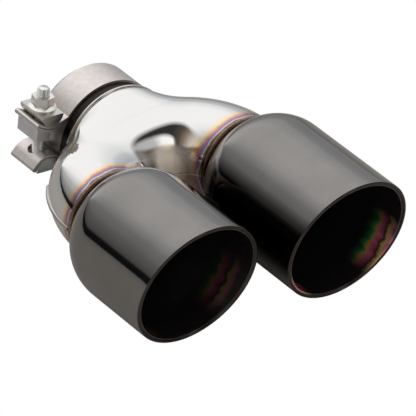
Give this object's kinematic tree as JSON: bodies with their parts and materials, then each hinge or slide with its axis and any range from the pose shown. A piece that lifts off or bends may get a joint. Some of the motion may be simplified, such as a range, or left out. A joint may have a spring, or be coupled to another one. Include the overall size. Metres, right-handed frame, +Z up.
{
  "type": "exhaust tip",
  "caption": "Dual-outlet exhaust tip: slant-cut double-wall tips on a pressed Y pipe, with a slotted inlet and a bolted band clamp that closes it on a tail pipe",
  "frame": {"origin": "centre of the inlet pipe's open end, where the tail pipe enters", "axes": "+Y runs out of the inlet along its axis, so the tips' mouths face -Y; Z is up; the left tip and the clamp's bolt are on the -X side"},
  "size_m": [0.2166, 0.249, 0.1016],
  "materials": {
    "inlet_pipe": "dark rolled steel",
    "inlet_weld": "polished weld",
    "y_pipe": "mirror polished",
    "seam_weld": "brushed weld bead",
    "tip_shell": "black chrome",
    "tip_liner": "black chrome with a faint oil-film tint",
    "tip_collar": "plain",
    "tip_weld": "heat-tinted weld bead",
    "clamp_band": "satin",
    "seal_sleeve": "plain",
    "reaction_block": "zinc plated",
    "upper_saddle": "zinc plated",
    "clamp_bolt": "zinc plated",
    "clamp_nut": "zinc plated"
  },
  "bodies": {
    "root": {"inlet_pipe": "inlet_pipe", "inlet_weld": "inlet_weld", "y_upper_shell": "y_pipe", "y_lower_shell": "y_pipe", "seam_weld_left": "seam_weld", "seam_weld_right": "seam_weld", "seam_weld_crotch": "seam_weld", "left_tip_shell": "tip_shell", "left_tip_liner": "tip_liner", "left_tip_collar": "tip_collar", "left_tip_weld": "tip_weld", "right_tip_shell": "tip_shell", "right_tip_liner": "tip_liner", "right_tip_collar": "tip_collar", "right_tip_weld": "tip_weld", "clamp_band": "clamp_band", "seal_sleeve": "seal_sleeve", "reaction_block": "reaction_block", "upper_saddle": "upper_saddle", "clamp_bolt": "clamp_bolt", "clamp_nut": "clamp_nut"}
  },
  "joints": []
}
